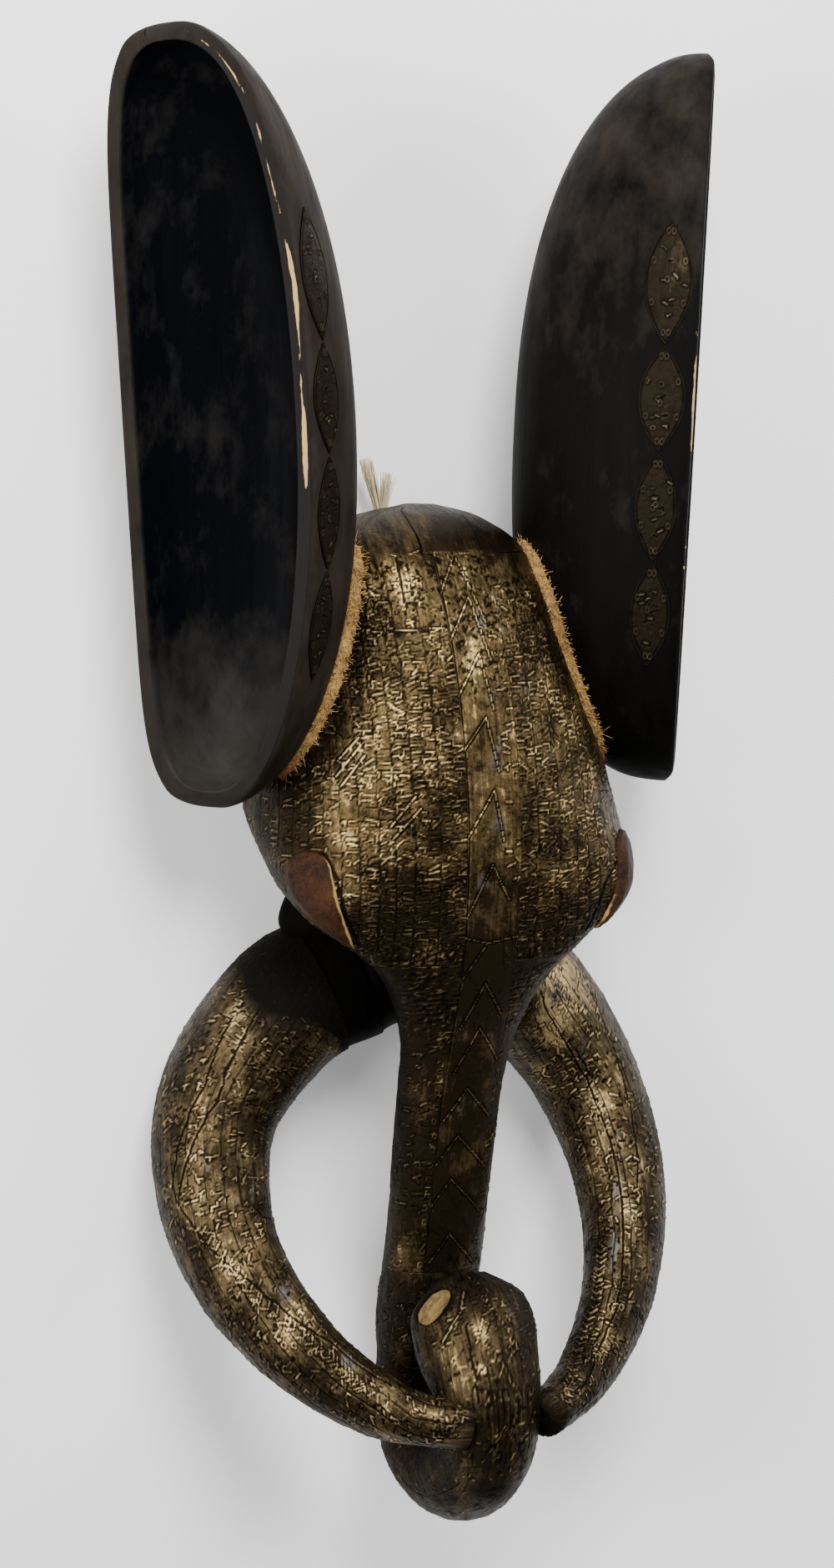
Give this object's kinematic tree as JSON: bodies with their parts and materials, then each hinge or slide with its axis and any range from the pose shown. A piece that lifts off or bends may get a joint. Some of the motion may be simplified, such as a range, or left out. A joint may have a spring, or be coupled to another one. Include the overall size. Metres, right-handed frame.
{
  "type": "carved elephant mask",
  "caption": "Long carved elephant mask with tall hollow ears, curled trunk and tusks meeting on it, the face sheathed in embossed brass.",
  "frame": {"origin": "bottom centre of the bounding box, in the plane of the mask's flat back rim", "axes": "+Z out of the face, +Y from the trunk's curl to the tips of the ears, +X to the viewer's right; the mask lies on its back"},
  "size_m": [0.5032, 1.1174, 0.2363],
  "materials": {
    "carved_wood": "dark aged hardwood, worn satin",
    "ear_wood": "blackened wood, smooth and rubbed, grey-blue inside",
    "sheet_brass": "embossed, darkened brown patina with rubbed gold high spots",
    "eye_copper": "red-brown copper, mottled and dull",
    "plaque_bronze": "brown bronze sheet, dull",
    "seam_fibre": "packed plant fibre, matt",
    "raffia": "dry straw, matt"
  },
  "bodies": {
    "root": {"head_carving": "carved_wood", "ear_left": "ear_wood", "ear_right": "ear_wood", "brass_forehead_left": "sheet_brass", "brass_forehead_right": "sheet_brass", "brass_centre_strip": "sheet_brass", "brass_trunk": "sheet_brass", "brass_curl": "sheet_brass", "brass_tusk_left": "sheet_brass", "brass_tusk_right": "sheet_brass", "eye_left": "eye_copper", "eye_right": "eye_copper", "ear_plaque_left_1": "plaque_bronze", "ear_plaque_left_2": "plaque_bronze", "ear_plaque_left_3": "plaque_bronze", "ear_plaque_left_4": "plaque_bronze", "ear_plaque_right_1": "plaque_bronze", "ear_plaque_right_2": "plaque_bronze", "ear_plaque_right_3": "plaque_bronze", "ear_plaque_right_4": "plaque_bronze", "fibre_seam_left": "seam_fibre", "fibre_seam_right": "seam_fibre", "raffia_tuft": "raffia"}
  },
  "joints": []
}
